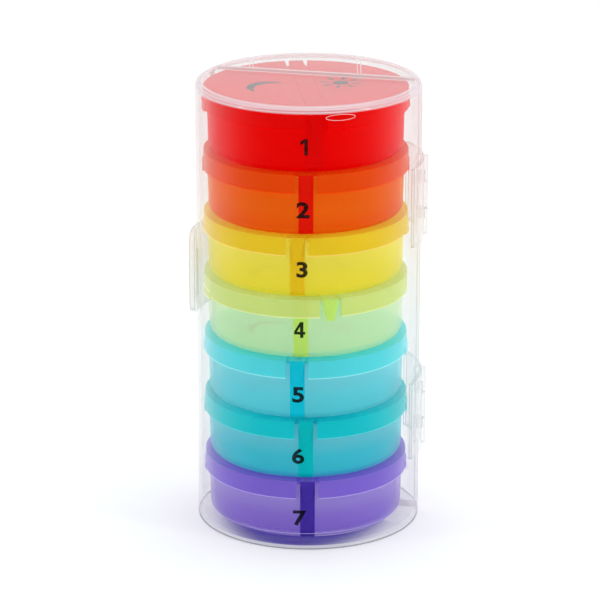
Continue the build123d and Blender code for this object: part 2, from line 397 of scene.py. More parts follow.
# %% Set each strength of it
WALL = clear_plastic("clear_wall", 0.0, 0.60, 3.0, (0.90, 0.89, 0.90), (0.976, 0.976, 0.977))
THICK = clear_plastic("clear_thick", 0.14, 0.72, 2.0, (0.93, 0.90, 0.91), (0.982, 0.978, 0.98))
RIM = clear_plastic("clear_rim", 0.36, 0.72, 1.5, (0.86, 0.79, 0.84), (0.975, 0.96, 0.975))
PLATE = clear_plastic("clear_plate", 0.07, 0.52, 3.0, (0.88, 0.87, 0.88), (0.98, 0.98, 0.98))
CUT = clear_plastic("clear_cut", 0.50, 0.85, 2.0, (0.90, 0.85, 0.88), (0.96, 0.955, 0.96))
FOOT = clear_plastic("clear_foot", 0.05, 0.50, 2.6, (0.88, 0.88, 0.91), (0.98, 0.98, 0.985))
# The line and bright-line finishes glow a little: painted highlights for the edges, the rim and the gate
# mark.
LINE = clear_plastic("clear_line", 0.66, 0.90, 2.0, (0.96, 0.95, 0.96), (0.90, 0.895, 0.90), 0.04)
BRIGHT = clear_plastic("clear_bright_line", 0.66, 0.90, 2.0, (0.98, 0.97, 0.98), (0.94, 0.935, 0.94), 0.18)
# The ground-line finish is grey and less clear: a painted contact shadow under the case's foot.
CONTACT_SHADOW = clear_plastic("clear_painted_shadow_line", 0.40, 0.50, 2.0, (0.55, 0.55, 0.57), (0.82, 0.82, 0.83))
print("strengths of clear plastic:", len((WALL, THICK, RIM, PLATE, CUT, FOOT, LINE, BRIGHT, CONTACT_SHADOW)))

# %% [markdown]
# ## Where the clear plastic is thick
# One recipe doesn't do for the whole case. A knuckle, a leaf, the latch strap and the rounded rim have
# more plastic in the line of sight than the wall, so they look milkier. The faces of the CAD parts are
# sorted by where they are, and each kind gets its own strength of the same plastic.

# %% Sort the faces of the case
CASE_R = 33.0 * MM
TOP_ROUND = 2.0 * MM
TOP_PLATE = 1.2 * MM
FLOOR_PLATE = 2.0 * MM
PART_Y = 8.8 * MM
HINGE_AXIS = (32.0 * MM, 8.8 * MM)
BARREL_REACH = 2.6 * MM
NEAR = 0.3 * MM
FACES_BACK = 0.9
LIES_FLAT = 0.98
TILTS_UP = 0.05
CASE_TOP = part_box("case_front")[1].z


def case_finish(centre, normal):
    """The strength of clear plastic that suits a face of the case, from where it is and how it faces."""
    from_hinge = math.hypot(centre.x - HINGE_AXIS[0], centre.y - HINGE_AXIS[1])
    from_axis = math.hypot(centre.x, centre.y)
    if from_hinge < BARREL_REACH or from_axis > CASE_R + NEAR:
        return THICK
    if abs(normal.y) > FACES_BACK and abs(centre.y - PART_Y) < NEAR:
        return CUT
    if centre.z > CASE_TOP - TOP_PLATE - NEAR and abs(normal.z) > LIES_FLAT:
        return PLATE
    if centre.z > CASE_TOP - TOP_ROUND and normal.z > TILTS_UP and from_axis > CASE_R - TOP_ROUND:
        return RIM
    return FOOT if centre.z < FLOOR_PLATE + NEAR else WALL


print("top of the case:", round(CASE_TOP * 1000, 1), "mm")

# %% Dress the case face by face
CASE_FINISHES = (WALL, THICK, RIM, PLATE, CUT, FOOT)
for name in ("case_front", "case_door"):
    case_mesh = nodes[name].data
    dress([name], CASE_FINISHES[0])
    for finish in CASE_FINISHES[1:]:
        case_mesh.materials.append(finish)
    for face in case_mesh.polygons:
        face.material_index = CASE_FINISHES.index(case_finish(face.center, face.normal))
    kinds = [face.material_index for face in case_mesh.polygons]
    print(name, "faces of each strength:", [kinds.count(k) for k in range(len(CASE_FINISHES))])

# %% [markdown]
# ## Painted highlights on the edges
# The corners of a clear moulding are never quite sharp. Each has a tiny radius that gathers light, so a
# clear box is seen mostly as a drawing of its edges. A hair-thin milky bead that glows a little, a painted
# highlight, is laid just inside the corners of the case, but not round its foot or on the small rounds of
# the hinges. A bead could also be a bevel, but a bevel on a CAD part would change its mesh. Two glowing
# rings are painted highlights in the rounded rim, and a dull grey one is a painted contact shadow along
# the line where the case meets the table.

# %% Lay a bead along an edge
BEAD_SIDES = 5


def bead_mesh(edges, radius, sunk=1.5):
    """Thin prisms along edges, sunk by a share of their radius."""
    work = bmesh.new()
    for (a, b), outwards in edges:
        along = (b - a).normalized()
        side = along.cross(outwards).normalized()
        up = side.cross(along)
        rings = []
        for end in (a, b):
            middle = end - outwards * radius * sunk
            turns = [2 * math.pi * k / BEAD_SIDES for k in range(BEAD_SIDES)]
            spokes = [side * math.cos(turn) + up * math.sin(turn) for turn in turns]
            rings.append([work.verts.new(middle + spoke * radius) for spoke in spokes])
        for k in range(BEAD_SIDES):
            j = (k + 1) % BEAD_SIDES
            work.faces.new((rings[0][k], rings[0][j], rings[1][j], rings[1][k]))
    mesh = bpy.data.meshes.new("beads")
    work.to_mesh(mesh)
    work.free()
    for face in mesh.polygons:
        face.use_smooth = True
    return mesh


print("sides of a bead:", BEAD_SIDES)

# %% Link a finished mesh
def add_piece(title, mesh, body, material):
    """Links a finished mesh as a piece that rides on a body."""
    mesh.materials.clear()
    mesh.materials.append(material)
    thing = bpy.data.objects.new(title, mesh)
    bpy.context.scene.collection.objects.link(thing)
    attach(thing, body)
    return thing


# %% Lay the beads of the case
CASE_BEAD_R = 0.13 * MM
CASE_BEAD_ANGLE = math.radians(40)
UPRIGHT = 0.9


def keeps_bead(a, b):
    """Upright edges keep their bead, level ones only above the foot and away from the hinge's knuckles."""
    middle = (a + b) / 2
    from_hinge = math.hypot(middle.x - HINGE_AXIS[0], middle.y - HINGE_AXIS[1])
    upright = abs((b - a).normalized().z) > UPRIGHT
    return upright or from_hinge > BARREL_REACH and middle.z > FLOOR_PLATE + NEAR


for name, body in (("case_front", "case"), ("case_door", "door")):
    corners = corners_of(nodes[name], CASE_BEAD_ANGLE)
    edges = [(ends, outwards) for _, ends, outwards in corners if keeps_bead(*ends)]
    on_top = [edge for edge in edges if min(end.z for end in edge[0]) > CASE_TOP - TOP_ROUND]
    below = [edge for edge in edges if edge not in on_top]
    # The top beads get the brighter glow: painted highlights, painted brighter on top.
    add_piece(f"{name}_top_highlights", bead_mesh(on_top, CASE_BEAD_R), body, BRIGHT)
    add_piece(f"{name}_beads", bead_mesh(below, CASE_BEAD_R), body, LINE)
    print(name, "edges with a bead:", len(on_top), "on top and", len(below), "below")

# %% Lay two painted highlight rings in the rounded rim and a painted shadow ring at the foot
RIM_HIGHLIGHTS = ((30.9 * MM, 0.25 * MM), (32.35 * MM, 1.35 * MM))
RIM_LINE_R = 0.2 * MM
# Where the ring of painted contact shadow lies: its radius and its height.
SHADOW_RING = (32.75 * MM, 0.52 * MM)
RIM_STEPS = 180


def on_circle(radius, turn):
    """A point on a circle about the origin."""
    return radius * math.cos(turn), radius * math.sin(turn)


def ring_edges(radius, height, front):
    """The part of a ring in front of the parting line, or behind it, as short edges."""
    points = []
    for k in range(RIM_STEPS + 1):
        turn = 2 * math.pi * k / RIM_STEPS
        points.append(Vector((*on_circle(radius, turn), height)))
    pairs = zip(points, points[1:])
    return [((a, b), Vector((0, 0, 1))) for a, b in pairs if ((a.y + b.y) / 2 < PART_Y) == front]


for body, front in (("case", True), ("door", False)):
    edges = [edge for radius, depth in RIM_HIGHLIGHTS for edge in ring_edges(radius, CASE_TOP - depth, front)]
    add_piece(f"{body}_rim_highlights", bead_mesh(edges, RIM_LINE_R), body, BRIGHT)
    # The ring at the foot is a painted contact shadow where the case meets the table.
    ground = ring_edges(*SHADOW_RING, front)
    add_piece(f"{body}_painted_shadow_line", bead_mesh(ground, RIM_LINE_R), body, CONTACT_SHADOW)
    print(body, "rim line edges:", len(edges), "and at the foot:", len(ground))

# %% [markdown]
# ## Tinted plastic
# Each box is moulded in a coloured plastic that is cloudy in itself: part of the light goes straight
# through and is tinted, and part is scattered back as the colour we see. Lids are tinted more deeply
# than tubs. Where plastic is seen along its length, as in the walls across the middle, it is deepest.
# Light could be followed inside the plastic, but that is slow and speckles the picture, so a tinted
# see-through shader and a coloured one are blended instead, and the coloured one glows a little: painted
# light for what the plastic scatters from inside. One recipe with seven colours is used, with uneven
# pigment and a soft grain from the mould. A tub is painted paler towards its rim, as painted light, and
# deeper towards its foot, where its floor adds plastic to the line of sight.

# %% Mix the tints
TUB_TINTS = {
    "purple": (0.40, 0.28, 0.78),
    "teal": (0.10, 0.73, 0.80),
    "sky_blue": (0.225, 0.79, 0.86),
    "green": (0.76, 0.92, 0.66),
    "yellow": (0.93, 0.87, 0.12),
    "orange": (0.90, 0.20, 0.008),
    "red": (0.883, 0.00093, 0.000465),
}
LID_TINTS = {
    "purple": (0.32, 0.21, 0.77),
    "teal": (0.012, 0.71, 0.75),
    "sky_blue": (0.15, 0.83, 0.88),
    "green": (0.77, 0.85, 0.31),
    "yellow": (0.90, 0.70, 0.035),
    "orange": (0.89, 0.10, 0.003),
    "red": (0.883, 0.00093, 0.000465),
}
DEEP_TINTS = {
    "purple": (0.08, 0.04, 0.46),
    "teal": (0.001, 0.62, 0.64),
    "sky_blue": (0.006, 0.68, 0.84),
    "green": (0.64, 0.92, 0.20),
    "yellow": (0.92, 0.66, 0.02),
    "orange": (0.90, 0.01, 0.001),
    "red": (0.90, 0.0005, 0.0005),
}
CLEARNESS = {
    "purple": 0.62, "teal": 0.60, "sky_blue": 0.62, "green": 0.64, "yellow": 0.62, "orange": 0.5, "red": 0.4,
}
# Each amount sets the sheen and also how much paler the top of the tub is painted: painted light.
SHEEN_AND_PAINTED_LIGHT = {"purple": 1.0, "teal": 0.7, "sky_blue": 0.6, "green": 0.4, "yellow": 0.3, "orange": 0.0, "red": 0.0}
print("tints for", ", ".join(TUB_TINTS))

# %% Blend a colour in by height
MIDDLE_RISE = 7.0 * MM
TOP_RISE = 13.0 * MM
PAINTED_TOP_LIGHT = 0.45
PAINTED_TOP_SHARE = 0.9
FOOT_DEPTH = 1.5
FOOT_SHARE = 0.8


def blend_by_height(tree, source, start, end, colour, most):
    """Blends a colour in as the height goes from start to end."""
    where = tree.nodes.new("ShaderNodeTexCoord")
    split = tree.nodes.new("ShaderNodeSeparateXYZ")
    tree.links.new(where.outputs["Object"], split.inputs["Vector"])
    amount = tree.nodes.new("ShaderNodeMapRange")
    amount.inputs["From Min"].default_value = start
    amount.inputs["From Max"].default_value = end
    amount.inputs["To Max"].default_value = most
    tree.links.new(split.outputs["Z"], amount.inputs["Value"])
    mix = tree.nodes.new("ShaderNodeMix")
    mix.data_type = "RGBA"
    tree.links.new(amount.outputs["Result"], mix.inputs[0])
    tree.links.new(source, mix.inputs[6])
    mix.inputs[7].default_value = (*colour, 1.0)
    return mix.outputs[2]


print("a tub's plain tint is at", MIDDLE_RISE, "m over its foot")

# %% Make the tinted plastic
THROUGH_POWER = 0.3
TINT_IOR = 1.12
PIGMENT_LOW, PIGMENT_HIGH = 0.94, 1.05
PIGMENT_SCALE = 45.0
GRAIN_SCALE = 1400.0
GRAIN_DEPTH = 0.03 * MM
GRAIN_STRENGTH = 0.12
GRAIN_ROUGHNESS = (0.2, 0.32)
SHEEN_ROUGHNESS = 0.4


def tinted_plastic(title, colour, clearness, glow, sheen_and_painted_light=0.0, foot=None):
    """Cloudy coloured plastic: part of the light passes and is tinted, part is scattered back. Its glow is
    painted light, and with a foot given, the top is painted paler as painted light.
    """
    made, tree, out = new_tree(title)
    body = tree.nodes.new("ShaderNodeBsdfPrincipled")
    pigment = noise(tree, PIGMENT_SCALE, 3.0)
    thin = [c * PIGMENT_LOW for c in colour]
    dense = [min(1.0, c * PIGMENT_HIGH) for c in colour]
    shade = two_colours(tree, pigment.outputs["Fac"], thin, dense, NOISE_LOW, NOISE_HIGH)
    if foot is not None:
        # Painted light: the top of the tub is painted paler, by the sheen amount.
        painted_light_top = [c + (1.0 - c) * sheen_and_painted_light * PAINTED_TOP_LIGHT for c in colour]
        deep_foot = [c ** FOOT_DEPTH for c in colour]
        middle = foot + MIDDLE_RISE
        shade = blend_by_height(tree, shade, middle, foot + TOP_RISE, painted_light_top, PAINTED_TOP_SHARE)
        shade = blend_by_height(tree, shade, middle, foot, deep_foot, FOOT_SHARE)
    tree.links.new(shade, body.inputs["Base Color"])
    grain = noise(tree, GRAIN_SCALE, 2.0)
    tree.links.new(spread_of(tree, grain.outputs["Fac"], *GRAIN_ROUGHNESS), body.inputs["Roughness"])
    relief = bump_from(tree, grain.outputs["Fac"], GRAIN_STRENGTH, GRAIN_DEPTH)
    tree.links.new(relief, body.inputs["Normal"])
    body.inputs["IOR"].default_value = TINT_IOR
    # Painted light: the glow stands for light scattered back from inside the plastic.
    body.inputs["Emission Color"].default_value = (*colour, 1.0)
    body.inputs["Emission Strength"].default_value = glow
    body.inputs["Sheen Weight"].default_value = sheen_and_painted_light
    body.inputs["Sheen Roughness"].default_value = SHEEN_ROUGHNESS
    through = tree.nodes.new("ShaderNodeBsdfTransparent")
    through.inputs["Color"].default_value = (*[c ** THROUGH_POWER for c in colour], 1.0)
    blend(tree, clearness, body, through, out)
    return made


print("grain depth:", GRAIN_DEPTH, "m")

# %% Mix the plastics of tubs and lids
LID_CLOUDINESS = 0.15
DEEP_CLEARNESS = 0.25
# Each glow is painted light, standing for light scattered inside the plastic.
TUB_PAINTED_GLOW, LID_PAINTED_GLOW, DEEP_PAINTED_GLOW = 0.2, 0.15, 0.1

TUB_PLASTIC = {
    c: tinted_plastic(
        f"{c}_tub", TUB_TINTS[c], CLEARNESS[c], TUB_PAINTED_GLOW, SHEEN_AND_PAINTED_LIGHT[c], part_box(f"tub_{c}")[0].z
    )
    for c in COLOURS
}
LID_PLASTIC = {
    c: tinted_plastic(f"{c}_lid", LID_TINTS[c], CLEARNESS[c] - LID_CLOUDINESS, LID_PAINTED_GLOW) for c in COLOURS
}
DEEP_PLASTIC = {c: tinted_plastic(f"{c}_deep", DEEP_TINTS[c], DEEP_CLEARNESS, DEEP_PAINTED_GLOW) for c in COLOURS}
print("tinted plastics:", len(TUB_PLASTIC) + len(LID_PLASTIC) + len(DEEP_PLASTIC))

# %% [markdown]
# ## Tubs
# A real tub has a generous round at its foot, so that it comes out of the mould and tablets roll out of
# its corners. The CAD tub has a plain bevel there. A profile turned round the box's axis gives the soft
# foot, the slight taper and the rounded rim. The twin walls and the solid blocks at their ends are
# added in the same mesh, and the piece stands for the CAD tub.

# %% Draw the half section of a tub
BOX_AXIS = (-0.5 * MM, -1.2 * MM)
TUB_R = 28.7 * MM
TUB_WALL = 1.2 * MM
TUB_FLOOR = 1.2 * MM
TUB_H = 17.1 * MM
FOOT_ROUND = 2.6 * MM
FOOT_TAPER = 0.3 * MM
RIM_ROUND = 0.3 * MM
ROUND_STEPS = 8


def arc(cx, cz, radius, start, end, steps=ROUND_STEPS):
    """Points on an arc in the upright section, angles in degrees."""
    turns = [math.radians(start + (end - start) * k / steps) for k in range(steps + 1)]
    return [(cx + radius * math.cos(t), cz + radius * math.sin(t)) for t in turns]


def tub_profile():
    """Outline of the cup's half section, from the middle of the underside to the middle of the floor."""
    foot_r = TUB_R - FOOT_TAPER
    inner_r = TUB_R - TUB_WALL
    inner_round = FOOT_ROUND - TUB_WALL
    inner_foot = foot_r - TUB_WALL
    return (
        [(0.0, 0.0)]
        + arc(foot_r - FOOT_ROUND, FOOT_ROUND, FOOT_ROUND, -90, 0)
        + arc(TUB_R - RIM_ROUND, TUB_H - RIM_ROUND, RIM_ROUND, 0, 90, 3)
        + arc(inner_r + RIM_ROUND, TUB_H - RIM_ROUND, RIM_ROUND, 90, 180, 3)
        + arc(inner_foot - inner_round, TUB_FLOOR + inner_round, inner_round, 0, -90)
        + [(0.0, TUB_FLOOR)]
    )


print("points in a tub's outline:", len(tub_profile()))

# %% Turn it about the box's axis
TUB_STEPS = 168


def turned(work, profile):
    """Turns a profile into rings of faces about the upright axis."""
    rings = []
    for r, z in profile:
        if r == 0.0:
            rings.append([work.verts.new((0, 0, z))])
        else:
            turns = [2 * math.pi * k / TUB_STEPS for k in range(TUB_STEPS)]
            rings.append([work.verts.new((*on_circle(r, t), z)) for t in turns])
    for low, high in zip(rings, rings[1:]):
        for k in range(TUB_STEPS):
            j = (k + 1) % TUB_STEPS
            corners = [low[k % len(low)], low[j % len(low)], high[j % len(high)], high[k % len(high)]]
            work.faces.new(list(dict.fromkeys(corners)))


print("points round a tub:", TUB_STEPS)

# %% Add the twin walls
SLOT_WIDTH = 2.2 * MM
DIVIDER_WALL = 1.05 * MM
SLOT_END_WALL = 1.9 * MM
SOFT_EDGE = 0.15 * MM


def block(work, low, high):
    """A block between two corners, with softened edges."""
    made = bmesh.ops.create_cube(work, size=1.0)["verts"]
    for vert in made:
        for axis in range(3):
            vert.co[axis] = low[axis] if vert.co[axis] < 0 else high[axis]
    edges = list({edge for vert in made for edge in vert.link_edges})
    bmesh.ops.bevel(work, geom=edges, offset=SOFT_EDGE, segments=2, affect="EDGES")


def tub_mesh():
    """The turned cup, two walls across it and the blocks at their ends, and how many faces the cup has."""
    work = bmesh.new()
    turned(work, tub_profile())
    cup_faces = len(work.faces)
    inside = TUB_R - TUB_WALL / 2
    slot_end = TUB_R - SLOT_END_WALL
    half_slot = SLOT_WIDTH / 2
    reach = half_slot + DIVIDER_WALL
    for side in (-1, 1):
        across = sorted((side * half_slot, side * reach))
        block(work, (across[0], -slot_end, TUB_FLOOR / 2), (across[1], slot_end, TUB_H))
        along = sorted((side * slot_end, side * inside))
        block(work, (-reach, along[0], TUB_FLOOR / 2), (reach, along[1], TUB_H - RIM_ROUND))
    bmesh.ops.recalc_face_normals(work, faces=work.faces[:])
    mesh = bpy.data.meshes.new("tub")
    work.to_mesh(mesh)
    work.free()
    return mesh, cup_faces


print("gap between the twin walls:", SLOT_WIDTH, "m")

# %% Make the seven tubs
TUB_TURN = {
    "purple": 15.0, "teal": 14.0, "sky_blue": 9.0, "green": 11.0, "yellow": 9.0, "orange": 14.0, "red": 19.7,
}
ENDWAYS = 0.7
STANDS_UP = 0.5


def on_box(x, y, turn):
    """Where a point of a box lies once the box is turned about its axis."""
    c, s = math.cos(turn), math.sin(turn)
    return BOX_AXIS[0] + x * c - y * s, BOX_AXIS[1] + x * s + y * c


def tub_piece(colour):
    """One tub, turned and set on its place, with the deep tint where a wall is seen along its length."""
    mesh, cup_faces = tub_mesh()
    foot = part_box(f"tub_{colour}")[0].z
    turn = math.radians(TUB_TURN[colour])
    for vert in mesh.vertices:
        x, y, z = vert.co
        vert.co = (*on_box(x, y, turn), foot + z)
    thing = add_piece(f"{colour}_tub", mesh, f"box_{colour}", TUB_PLASTIC[colour])
    mesh.materials.append(DEEP_PLASTIC[colour])
    along = Vector((-math.sin(turn), math.cos(turn), 0))
    across = Vector((math.cos(turn), math.sin(turn), 0))
    middle = Vector((*BOX_AXIS, 0))
    for count, face in enumerate(mesh.polygons):
        face.use_smooth = True
        ends_wall = count >= cup_faces and abs(face.normal.dot(along)) > ENDWAYS
        behind_walls = abs((face.center - middle).dot(across)) < SLOT_WIDTH / 2 + DIVIDER_WALL
        joins_cup = count < cup_faces and behind_walls and abs(face.normal.z) < STANDS_UP
        face.material_index = int(ends_wall or joins_cup)
    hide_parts(f"tub_{colour}")
    return thing


tubs = {colour: tub_piece(colour) for colour in COLOURS}
print("faces on one tub:", len(tubs["red"].data.polygons))

# %% [markdown]
# ## Lids
# The lid of a box is a bar with a flap on each side, joined by thin webs that bend. These shapes come
# from CAD and keep them. The bar looks deeper where it is seen from its end, so its end faces get the
# deep tint. A fine pale bead that glows, a painted highlight, follows the lower outer edge of the flaps,
# where the real edge is rounded. The lowest tub gets one more glowing line at its foot, a painted
# highlight where its inside corner shines through.

# %% Choose the edges that get a painted highlight
SKIRT_EDGE_FROM_AXIS = 29.2 * MM
SKIRT_TOP_BAND = 1.5 * MM
LEVEL = 0.3
HIGHLIGHT_WHITE = 0.95
# How much white goes into each lid's painted highlight.
PALENESS = {
    "purple": 0.40, "teal": 0.15, "sky_blue": 0.42, "green": 0.35, "yellow": 0.22, "orange": 0.0, "red": 0.0,
}


def pale(colour):
    """The lid's tint with some white in it, a painted highlight for its rounded edges."""
    return tuple(c + (HIGHLIGHT_WHITE - c) * PALENESS[colour] for c in LID_TINTS[colour])


def on_skirt(a, b, lid_top):
    """Whether an edge runs level along the lower outer edge of a lid."""
    nearest = min(math.hypot(end.x - BOX_AXIS[0], end.y - BOX_AXIS[1]) for end in (a, b))
    level = abs((b - a).normalized().z) < LEVEL
    return nearest > SKIRT_EDGE_FROM_AXIS and level and max(a.z, b.z) < lid_top - SKIRT_TOP_BAND


print("palest edge:", max(PALENESS, key=PALENESS.get))

# %% Draw the painted highlight line at the lowest foot
LOWEST = "purple"
FOOT_LINE_REACH = 28.1 * MM
FOOT_LINE_RISE = 1.75 * MM
FOOT_LINE_R = 0.16 * MM
FOOT_LINE_STEPS = 120


def foot_highlight(foot):
    """A ring of short edges on the rounded foot of a tub."""
    points = []
    for k in range(FOOT_LINE_STEPS + 1):
        turn = 2 * math.pi * k / FOOT_LINE_STEPS
        points.append(Vector((*on_box(FOOT_LINE_REACH, 0, turn), foot + FOOT_LINE_RISE)))
    return [((a, b), Vector((0, 0, 1))) for a, b in zip(points, points[1:])]


print("edges in the foot line:", len(foot_highlight(0.0)))

# %% Dress the lids
LID_TURN = {
    "purple": 15.0, "teal": 14.0, "sky_blue": 9.0, "green": 28.0, "yellow": 9.0, "orange": 14.0, "red": 19.7,
}
LID_BEAD_R = 0.17 * MM
LID_BEAD_SUNK = 0.3
HIGHLIGHT_CLEARNESS, HIGHLIGHT_GLOW = 0.35, 0.3


def dress_lid(colour):
    """Gives one lid its plastic and its beads of painted highlight, and the lowest tub its painted highlight
    line at the foot.
    """
    flaps = [f"moon_flap_{colour}", f"sun_flap_{colour}"]
    bar = f"hinge_bar_{colour}"
    body, slot = f"box_{colour}", f"{colour}_plastic"
    dress(flaps + [bar], LID_PLASTIC[colour])
    nodes[bar].data.materials.append(DEEP_PLASTIC[colour])
    turn = math.radians(LID_TURN[colour])
    along = Vector((-math.sin(turn), math.cos(turn), 0))
    for face in nodes[bar].data.polygons:
        face.material_index = int(abs(face.normal.dot(along)) > ENDWAYS)
    # The edge plastic is pale and glows: a painted highlight on the rounded edges.
    highlight_plastic = tinted_plastic(f"{colour}_edge", pale(colour), HIGHLIGHT_CLEARNESS, HIGHLIGHT_GLOW)
    if colour == LOWEST:
        line = foot_highlight(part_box(f"tub_{colour}")[0].z)
        add_piece(f"{colour}_foot_highlight", bead_mesh(line, FOOT_LINE_R), body, highlight_plastic)
    edges = [
        (ends, outwards)
        for name in flaps
        for _, ends, outwards in corners_of(nodes[name], SHARP)
        if on_skirt(*ends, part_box(name)[1].z)
    ]
    beads = bead_mesh(edges, LID_BEAD_R, LID_BEAD_SUNK)
    add_piece(f"{colour}_lid_highlights", beads, body, highlight_plastic)
    return len(edges)


bead_counts = [dress_lid(colour) for colour in COLOURS]
print("edges with a bead on each lid:", bead_counts)

# %% [markdown]
# ## Printed numbers
# Each tub carries a small printed mark on its front, and plain numbers stand for the days here.
# Ink lies a few hundredths of a millimetre proud of the wall, and light comes through it a little,
# so it takes some of the colour beneath. It could be painted in the material, but then its edge would
# blur with distance. A number is made flat, from the built-in font or from plain blocks, cut into
# narrow upright strips and then wrapped round the wall, so that it keeps to the curve.

# %% Mix the ink
INK_SPECKLE = 2500.0
INK_THICK = (0.004, 0.005, 0.007)
INK_THIN = (0.016, 0.016, 0.018)
INK_ROUGHNESS = (0.45, 0.6)
INK_IOR = 1.25
INK_TINT = (0.2, 0.2, 0.2)
INK_CLEARNESS = 0.5


def print_ink():
    """Dark print that lets a little colour through, with slight unevenness in how thick it lies."""
    made, tree, out = new_tree("dark_ink")
    body = tree.nodes.new("ShaderNodeBsdfPrincipled")
    speckle = noise(tree, INK_SPECKLE, 3.0)
    shade = two_colours(tree, speckle.outputs["Fac"], INK_THICK, INK_THIN)
    tree.links.new(shade, body.inputs["Base Color"])
    tree.links.new(spread_of(tree, speckle.outputs["Fac"], *INK_ROUGHNESS), body.inputs["Roughness"])
    body.inputs["IOR"].default_value = INK_IOR
    through = tree.nodes.new("ShaderNodeBsdfTransparent")
    through.inputs["Color"].default_value = (*INK_TINT, 1.0)
    blend(tree, INK_CLEARNESS, body, through, out)
    return made


INK = print_ink()
print("ink lets through:", INK_CLEARNESS)

# %% Make a flat number
NUMBER_HEIGHT = 4.8 * MM
NUMBER_WEIGHT = 0.032
NUMBER_WIDEN = 1.2
BLOCK_NUMBERS = {
    "1": [
        [(0.34, 0.0), (0.54, 0.0), (0.54, 1.0), (0.34, 1.0)],
        [(0.10, 0.63), (0.34, 0.76), (0.34, 1.0), (0.10, 0.84)],
    ],
    "4": [
        [(0.36, 0.0), (0.56, 0.0), (0.56, 1.0), (0.36, 1.0)],
        [(0.00, 0.21), (0.36, 0.21), (0.36, 0.38), (0.00, 0.38)],
        [(0.00, 0.38), (0.17, 0.38), (0.36, 0.70), (0.36, 1.0)],
        [(0.56, 0.21), (0.67, 0.21), (0.67, 0.38), (0.56, 0.38)],
    ],
}


def font_number(text):
    """A number from the built-in font, made bold by an offset of its outline."""
    curve = bpy.data.curves.new("number", "FONT")
    curve.body = text
    curve.size = 1.0
    curve.offset = NUMBER_WEIGHT
    curve.align_x = "CENTER"
    shown = bpy.data.objects.new("number", curve)
    bpy.context.scene.collection.objects.link(shown)
    bpy.context.view_layer.update()
    graph = bpy.context.evaluated_depsgraph_get()
    mesh = bpy.data.meshes.new_from_object(shown.evaluated_get(graph))
    bpy.data.objects.remove(shown)
    for v in mesh.vertices:
        v.co.x *= NUMBER_WIDEN
    return mesh


def block_number(blocks):
    """A number laid out as four-sided blocks that meet but don't overlap."""
    points = [(x, y, 0) for corners in blocks for x, y in corners]
    faces = [tuple(range(4 * k, 4 * k + 4)) for k in range(len(blocks))]
    mesh = bpy.data.meshes.new("number")
    mesh.from_pydata(points, [], faces)
    return mesh


def flat_number(text):
    """A bold number as a flat mesh, centred, with its height set in metres."""
    mesh = block_number(BLOCK_NUMBERS[text]) if text in BLOCK_NUMBERS else font_number(text)
    low = min(v.co.y for v in mesh.vertices)
    high = max(v.co.y for v in mesh.vertices)
    left = min(v.co.x for v in mesh.vertices)
    right = max(v.co.x for v in mesh.vertices)
    middle = Vector(((left + right) / 2, (low + high) / 2, 0.0))
    factor = NUMBER_HEIGHT / (high - low)
    for v in mesh.vertices:
        v.co = (v.co - middle) * factor
    return mesh


print("number height:", NUMBER_HEIGHT, "m")

# %% Cut it into strips
STRIP = 0.25 * MM


def cut_in_strips(mesh):
    """Cuts a flat mesh into upright strips, so that it can bend."""
    work = bmesh.new()
    work.from_mesh(mesh)
    left = min(v.co.x for v in work.verts)
    right = max(v.co.x for v in work.verts)
    for k in range(1, int((right - left) / STRIP) + 1):
        everything = work.verts[:] + work.edges[:] + work.faces[:]
        bmesh.ops.bisect_plane(work, geom=everything, plane_co=(left + k * STRIP, 0, 0), plane_no=(1, 0, 0))
    work.to_mesh(mesh)
    work.free()


print("strip width:", STRIP, "m")

# %% Wrap the numbers round the tubs
INK_RISE = 0.04 * MM
NUMBERS = {
    "red": {"text": "1", "angle": 12.9, "rise": 7.8},
    "orange": {"text": "2", "angle": 12.3, "rise": 7.8},
    "yellow": {"text": "3", "angle": 11.8, "rise": 8.6},
    "green": {"text": "4", "angle": 10.4, "rise": 9.0},
    "sky_blue": {"text": "5", "angle": 9.5, "rise": 7.7},
    "teal": {"text": "6", "angle": 9.5, "rise": 7.3},
    "purple": {"text": "7", "angle": 10.4, "rise": 6.5},
}


def front_number(colour):
    """The number on one tub, by its angle from the front and its height over the tub's foot."""
    number = NUMBERS[colour]
    mesh = flat_number(number["text"])
    cut_in_strips(mesh)
    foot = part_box(f"tub_{colour}")[0].z
    for v in mesh.vertices:
        height = number["rise"] * MM + v.co.y
        taper = FOOT_TAPER * (1.0 - (height - FOOT_ROUND) / (TUB_H - FOOT_ROUND))
        radius = TUB_R - max(0.0, taper) + INK_RISE
        turn = math.radians(number["angle"] - 90) + v.co.x / radius
        v.co = Vector((*on_box(radius, 0, turn), foot + height))
    return add_piece(f"number_{colour}", mesh, f"box_{colour}", INK)


numbers = [front_number(colour) for colour in COLOURS]
print("numbers:", len(numbers))

# %% [markdown]
# ## Moon and sun on the lids
# A moon marks the evening flap and a sun the morning flap. Both are flat ink shapes a hair above the
# lid, drawn in millimetres. The moon is a disc with a second disc bitten out of it, and the sun is a
# disc with eight short rays.

# %% Draw the two signs
MOON_R = 6.4
BITE_R = 6.6
BITE_SHIFT = 2.9
BITE_TURN = math.radians(-45.0)
MOON_MIDDLE = (-10.9, -0.9)
SUN_MIDDLE = (10.4, 2.3)
SUN_R = 2.3
RAYS = 8
RAY_TURN = -15.0
RAY = [(3.3, -0.36), (6.0, -0.55), (6.0, 0.55), (3.3, 0.36)]
MOON_STEPS = 40
SUN_STEPS = 36
TIP_WIDTH = 0.01


